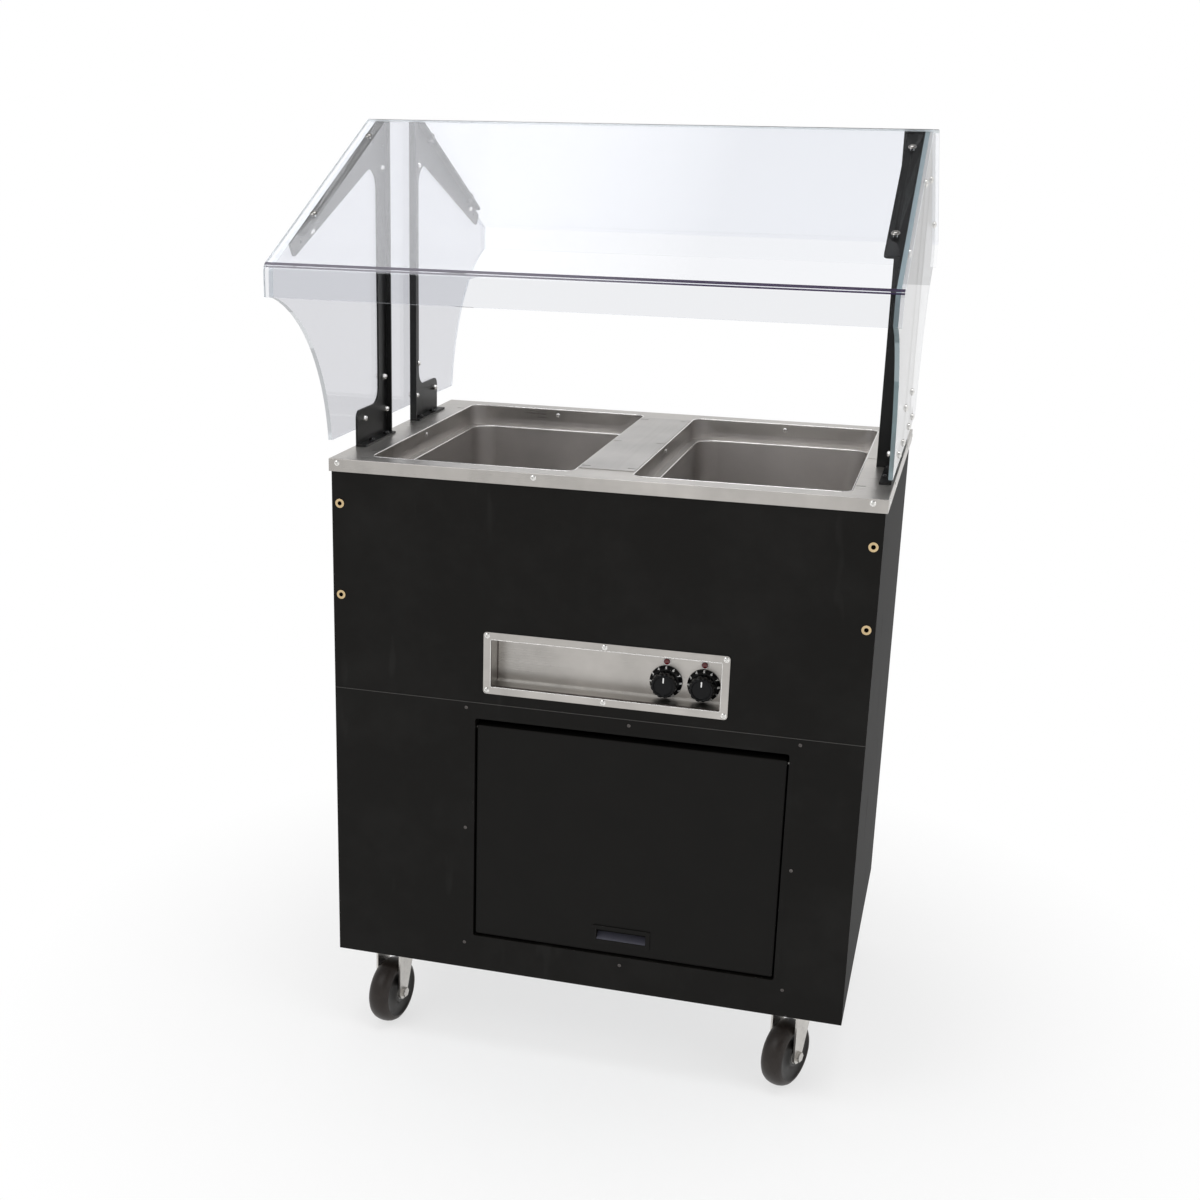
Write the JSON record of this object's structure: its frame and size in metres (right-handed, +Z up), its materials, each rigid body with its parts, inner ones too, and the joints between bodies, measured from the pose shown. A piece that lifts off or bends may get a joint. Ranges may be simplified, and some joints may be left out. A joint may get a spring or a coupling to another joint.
{
  "type": "portable two-well steam table",
  "caption": "Mobile electric steam table: black cabinet on swivel casters, stainless top with open food wells, and a double-sided clear food guard.",
  "frame": {"origin": "on the floor under the middle of the top", "axes": "+X to the right of someone facing the controls, +Y to the far side, +Z up"},
  "size_m": [0.822, 0.962, 1.4194],
  "materials": {
    "stainless": "satin brushed",
    "well_steel": "dull matt",
    "galvanized": "spangled matt",
    "insulation": "fibrous",
    "element_sheath": "matt",
    "black_paint": "satin",
    "bracket_paint": "satin powder coat",
    "black_plastic": "fine texture",
    "slate_plastic": "fine texture",
    "knob_plastic": "semi gloss",
    "switch_plastic": "matt",
    "red_lens": "gloss",
    "brass": "turned",
    "chrome_screws": "polished",
    "dark_screws": "satin",
    "zinc": "zinc plated",
    "wheel_rubber": "matt",
    "clear_acrylic": "clear"
  },
  "bodies": {
    "cabinet": {"counter_top": "stainless", "center_cover": "stainless", "left_well": "well_steel", "right_well": "well_steel", "well_housings": "galvanized", "well_insulation": "insulation", "heating_elements": "element_sheath", "element_saddles": "well_steel", "corner_posts": "galvanized", "base_floor": "galvanized", "base_channels": "galvanized", "front_upper_panel": "black_paint", "front_lower_panel": "black_paint", "rear_panel": "black_paint", "left_side_panel": "black_paint", "right_side_panel": "black_paint", "compartment_ceiling": "galvanized", "door_frame": "black_paint", "door_frame_screws": "dark_screws", "control_box": "stainless", "control_box_screws": "chrome_screws", "heat_switches": "switch_plastic", "pilot_lamps": "red_lens", "rim_screws": "chrome_screws", "well_screws": "chrome_screws", "tray_slide_inserts": "brass", "cable_gland": "black_plastic", "front_left_bracket": "bracket_paint", "front_right_bracket": "bracket_paint", "rear_left_bracket": "bracket_paint", "rear_right_bracket": "bracket_paint", "front_guard_panel": "clear_acrylic", "rear_guard_panel": "clear_acrylic", "left_end_panel": "clear_acrylic", "right_end_panel": "clear_acrylic", "guard_panel_screws": "chrome_screws", "end_panel_screws": "chrome_screws", "bracket_foot_bolts": "chrome_screws", "caster_bolts": "zinc", "front_left_caster_plate": "zinc", "front_right_caster_plate": "zinc", "rear_left_caster_plate": "zinc", "rear_right_caster_plate": "zinc"},
    "door": {"access_door": "black_plastic", "door_pull": "slate_plastic", "door_hinge_pins": "zinc"},
    "left_dial": {"left_knob": "knob_plastic"},
    "right_dial": {"right_knob": "knob_plastic"},
    "front_left_swivel": {"front_left_fork": "zinc", "front_left_axle": "zinc"},
    "front_left_roller": {"front_left_wheel": "wheel_rubber"},
    "front_right_swivel": {"front_right_fork": "zinc", "front_right_axle": "zinc"},
    "front_right_roller": {"front_right_wheel": "wheel_rubber"},
    "rear_left_swivel": {"rear_left_fork": "zinc", "rear_left_axle": "zinc"},
    "rear_left_roller": {"rear_left_wheel": "wheel_rubber"},
    "rear_right_swivel": {"rear_right_fork": "zinc", "rear_right_axle": "zinc"},
    "rear_right_roller": {"rear_right_wheel": "wheel_rubber"}
  },
  "joints": [
    {"name": "door_hinge", "type": "hinge", "parent": "cabinet", "child": "door", "pos_m": [0.06, -0.27, 0.545], "axis": [-1, 0, 0], "range_deg": [0, 85]},
    {"name": "left_dial_turn", "type": "hinge", "parent": "cabinet", "child": "left_dial", "pos_m": [0.1055, -0.2575, 0.641], "axis": [0, 1, 0], "range_deg": [0, 300]},
    {"name": "right_dial_turn", "type": "hinge", "parent": "cabinet", "child": "right_dial", "pos_m": [0.1615, -0.2575, 0.641], "axis": [0, 1, 0], "range_deg": [0, 300]},
    {"name": "front_left_swivel_turn", "type": "hinge", "parent": "cabinet", "child": "front_left_swivel", "pos_m": [-0.326, -0.2115, 0.12], "axis": [0, 0, 1], "continuous": true},
    {"name": "front_left_wheel_spin", "type": "hinge", "parent": "front_left_swivel", "child": "front_left_roller", "pos_m": [-0.33017, -0.23514, 0.053], "axis": [0.9848, -0.1736, 0], "continuous": true},
    {"name": "front_right_swivel_turn", "type": "hinge", "parent": "cabinet", "child": "front_right_swivel", "pos_m": [0.326, -0.2115, 0.12], "axis": [0, 0, 1], "continuous": true},
    {"name": "front_right_wheel_spin", "type": "hinge", "parent": "front_right_swivel", "child": "front_right_roller", "pos_m": [0.31701, -0.23375, 0.053], "axis": [0.9272, -0.3746, 0], "continuous": true},
    {"name": "rear_left_swivel_turn", "type": "hinge", "parent": "cabinet", "child": "rear_left_swivel", "pos_m": [-0.326, 0.2115, 0.12], "axis": [0, 0, 1], "continuous": true},
    {"name": "rear_left_wheel_spin", "type": "hinge", "parent": "rear_left_swivel", "child": "rear_left_roller", "pos_m": [-0.32934, 0.18773, 0.053], "axis": [0.9903, -0.1392, 0], "continuous": true},
    {"name": "rear_right_swivel_turn", "type": "hinge", "parent": "cabinet", "child": "rear_right_swivel", "pos_m": [0.326, 0.2115, 0.12], "axis": [0, 0, 1], "continuous": true},
    {"name": "rear_right_wheel_spin", "type": "hinge", "parent": "rear_right_swivel", "child": "rear_right_roller", "pos_m": [0.31779, 0.18895, 0.053], "axis": [0.9397, -0.342, 0], "continuous": true}
  ]
}
